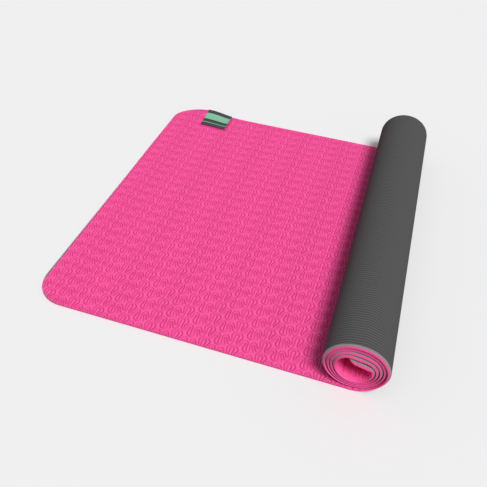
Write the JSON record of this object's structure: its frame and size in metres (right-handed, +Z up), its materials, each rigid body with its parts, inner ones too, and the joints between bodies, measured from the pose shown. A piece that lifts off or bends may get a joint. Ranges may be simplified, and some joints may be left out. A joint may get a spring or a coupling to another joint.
{
  "type": "roll-up exercise mat",
  "caption": "Two-layer foam exercise mat, half unrolled, with an embossed top, a ribbed base, a woven edge label and a flat part that rolls up.",
  "frame": {"origin": "middle of the mat's outline on the floor", "axes": "+X from the free end towards the roll, +Y across the mat's width away from the viewer, +Z up from the floor"},
  "size_m": [0.5364, 0.61, 0.093],
  "materials": {
    "top_foam": "matte closed-cell foam with an embossed non-slip pattern",
    "base_foam": "matte closed-cell foam with fine wavy ribs",
    "label": "woven",
    "thread": "sewn thread"
  },
  "bodies": {
    "mat_end": {"top_layer_end": "top_foam", "base_layer_end": "base_foam", "edge_label": "label", "label_stitches": "thread"},
    "strip_01": {"top_layer_strip_01": "top_foam", "base_layer_strip_01": "base_foam"},
    "strip_02": {"top_layer_strip_02": "top_foam", "base_layer_strip_02": "base_foam"},
    "strip_03": {"top_layer_strip_03": "top_foam", "base_layer_strip_03": "base_foam"},
    "strip_04": {"top_layer_strip_04": "top_foam", "base_layer_strip_04": "base_foam"},
    "strip_05": {"top_layer_strip_05": "top_foam", "base_layer_strip_05": "base_foam"},
    "strip_06": {"top_layer_strip_06": "top_foam", "base_layer_strip_06": "base_foam"},
    "strip_07": {"top_layer_strip_07": "top_foam", "base_layer_strip_07": "base_foam"},
    "strip_08": {"top_layer_strip_08": "top_foam", "base_layer_strip_08": "base_foam"},
    "strip_09": {"top_layer_strip_09": "top_foam", "base_layer_strip_09": "base_foam"},
    "strip_10": {"top_layer_strip_10": "top_foam", "base_layer_strip_10": "base_foam"},
    "roll": {"top_layer_roll": "top_foam", "base_layer_roll": "base_foam"}
  },
  "joints": [
    {"name": "bend_01", "type": "hinge", "parent": "mat_end", "child": "strip_01", "pos_m": [-0.14325, 0, 0.0045], "axis": [0, -1, 0], "range_deg": [0, 34.03]},
    {"name": "bend_02", "type": "hinge", "parent": "strip_01", "child": "strip_02", "pos_m": [-0.10849, 0, 0.0045], "axis": [0, -1, 0], "range_deg": [0, 34.53]},
    {"name": "bend_03", "type": "hinge", "parent": "strip_02", "child": "strip_03", "pos_m": [-0.07373, 0, 0.0045], "axis": [0, -1, 0], "range_deg": [0, 35.04]},
    {"name": "bend_04", "type": "hinge", "parent": "strip_03", "child": "strip_04", "pos_m": [-0.03896, 0, 0.0045], "axis": [0, -1, 0], "range_deg": [0, 35.58]},
    {"name": "bend_05", "type": "hinge", "parent": "strip_04", "child": "strip_05", "pos_m": [-0.0042, 0, 0.0045], "axis": [0, -1, 0], "range_deg": [0, 36.15]},
    {"name": "bend_06", "type": "hinge", "parent": "strip_05", "child": "strip_06", "pos_m": [0.03056, 0, 0.0045], "axis": [0, -1, 0], "range_deg": [0, 36.74]},
    {"name": "bend_07", "type": "hinge", "parent": "strip_06", "child": "strip_07", "pos_m": [0.06532, 0, 0.0045], "axis": [0, -1, 0], "range_deg": [0, 37.36]},
    {"name": "bend_08", "type": "hinge", "parent": "strip_07", "child": "strip_08", "pos_m": [0.10008, 0, 0.0045], "axis": [0, -1, 0], "range_deg": [0, 38.02]},
    {"name": "bend_09", "type": "hinge", "parent": "strip_08", "child": "strip_09", "pos_m": [0.13484, 0, 0.0045], "axis": [0, -1, 0], "range_deg": [0, 38.7]},
    {"name": "bend_10", "type": "hinge", "parent": "strip_09", "child": "strip_10", "pos_m": [0.16961, 0, 0.0045], "axis": [0, -1, 0], "range_deg": [0, 39.43]},
    {"name": "roll_up", "type": "hinge", "parent": "strip_10", "child": "roll", "pos_m": [0.20437, 0, 0.0045], "axis": [0, -1, 0], "range_deg": [0, 40.2]}
  ],
  "couplings": [
    {"joint": "bend_01", "follows": "roll_up", "ratio": 0.84664},
    {"joint": "bend_02", "follows": "roll_up", "ratio": 0.85894},
    {"joint": "bend_03", "follows": "roll_up", "ratio": 0.87178},
    {"joint": "bend_04", "follows": "roll_up", "ratio": 0.8852},
    {"joint": "bend_05", "follows": "roll_up", "ratio": 0.89925},
    {"joint": "bend_06", "follows": "roll_up", "ratio": 0.91397},
    {"joint": "bend_07", "follows": "roll_up", "ratio": 0.92944},
    {"joint": "bend_08", "follows": "roll_up", "ratio": 0.9457},
    {"joint": "bend_09", "follows": "roll_up", "ratio": 0.96282},
    {"joint": "bend_10", "follows": "roll_up", "ratio": 0.98089}
  ]
}
